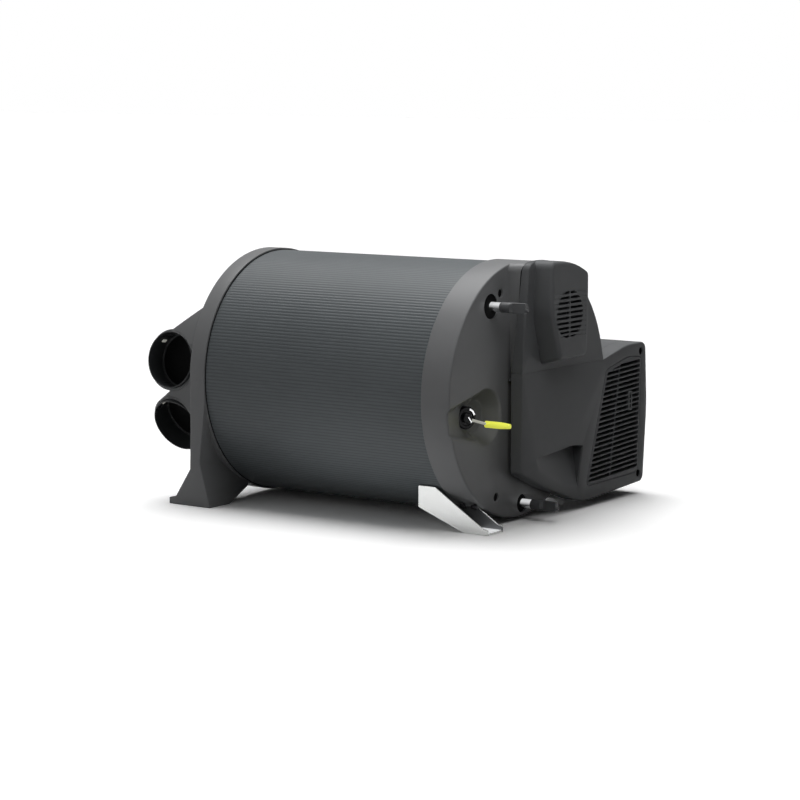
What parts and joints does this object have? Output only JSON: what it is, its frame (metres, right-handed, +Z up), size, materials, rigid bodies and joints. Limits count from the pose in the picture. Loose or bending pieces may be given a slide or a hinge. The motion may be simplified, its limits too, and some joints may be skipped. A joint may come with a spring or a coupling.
{
  "type": "caravan water heater",
  "caption": "Horizontal drum heater for warm air and hot water, with round duct outlets and feet at one end and a burner housing, intake grille and water spigots at the other.",
  "frame": {"origin": "on the floor, midway between the two foot holes of the warm-air end", "axes": "+X along the drum to the burner end, -Y the front with the fuel inlet, +Z up"},
  "size_m": [0.4898, 0.4022, 0.3015],
  "materials": {
    "jacket_paint": "matt with fine ribs",
    "cap_plastic": "fine moulded grain",
    "housing_plastic": "fine moulded grain",
    "outlet_plastic": "semi-gloss",
    "bracket_sheet": "bright zinc",
    "screw_steel": "zinc",
    "pipe_chrome": "polished",
    "spigot_plastic": "moulded",
    "black_rubber": "matt",
    "fitting_black": "gloss",
    "pale_plastic": "plain",
    "yellow_plastic": "plain",
    "tank_steel": "plain sheet",
    "exchanger_alloy": "as cast",
    "burner_steel": "heat tinted",
    "motor_can": "plain",
    "fan_plastic": "plain",
    "board_green": "laminate",
    "terminal_green": "plain",
    "sensor_brass": "turned",
    "switch_brown": "moulded",
    "button_red": "moulded"
  },
  "bodies": {
    "heater": {"drum_jacket": "jacket_paint", "warm_air_end_cap": "cap_plastic", "air_distributor": "cap_plastic", "distributor_screws": "screw_steel", "outlet_front_upper": "outlet_plastic", "outlet_front_lower": "outlet_plastic", "outlet_rear_upper": "outlet_plastic", "outlet_rear_lower": "outlet_plastic", "burner_end_cap": "cap_plastic", "burner_housing": "housing_plastic", "intake_box": "housing_plastic", "housing_screws": "screw_steel", "support_bracket_front": "bracket_sheet", "support_bracket_rear": "bracket_sheet", "bracket_screws": "screw_steel", "hot_water_pipe": "pipe_chrome", "cold_water_pipe": "pipe_chrome", "hot_water_spigot": "spigot_plastic", "cold_water_spigot": "spigot_plastic", "port_grommets": "black_rubber", "fuel_inlet_fitting": "fitting_black", "fuel_nipple": "pale_plastic", "fuel_pipe": "pipe_chrome", "water_tank": "tank_steel", "tank_rings": "black_rubber", "water_sensor": "sensor_brass", "heat_exchanger": "exchanger_alloy", "combustion_chamber": "burner_steel", "burner_head": "burner_steel", "glow_plug": "sensor_brass", "exhaust_connector": "tank_steel", "combustion_air_connector": "fan_plastic", "combustion_motor": "motor_can", "blower_scroll": "exchanger_alloy", "circulation_motor": "motor_can", "control_board": "board_green", "board_screws": "screw_steel", "terminal_block": "terminal_green", "overheat_switch": "switch_brown"},
    "circulation_rotor": {"circulation_fan": "fan_plastic", "circulation_shaft": "screw_steel"},
    "combustion_rotor": {"combustion_fan": "fan_plastic", "combustion_shaft": "screw_steel"},
    "cover": {"electronics_cover": "housing_plastic"},
    "grille": {"intake_grille": "housing_plastic"},
    "fuel_plug": {"fuel_cap": "yellow_plastic"},
    "reset": {"reset_button": "button_red"}
  },
  "joints": [
    {"name": "circulation_fan_spin", "type": "hinge", "parent": "heater", "child": "circulation_rotor", "pos_m": [0.366, 0.20055, 0.098], "axis": [1, 0, 0], "continuous": true},
    {"name": "combustion_fan_spin", "type": "hinge", "parent": "heater", "child": "combustion_rotor", "pos_m": [0.395, 0.064, 0.122], "axis": [1, 0, 0], "continuous": true},
    {"name": "cover_pull", "type": "slide", "parent": "heater", "child": "cover", "axis": [1, 0, 0], "range_m": [0, 0.06]},
    {"name": "grille_pull", "type": "slide", "parent": "heater", "child": "grille", "axis": [1, 0, 0], "range_m": [0, 0.04]},
    {"name": "fuel_cap_pull", "type": "slide", "parent": "heater", "child": "fuel_plug", "axis": [1, 0, 0], "range_m": [0, 0.04]},
    {"name": "reset_button_press", "type": "slide", "parent": "heater", "child": "reset", "axis": [-1, 0, 0], "range_m": [0, 0.002], "stiffness_N_per_m": 300}
  ]
}
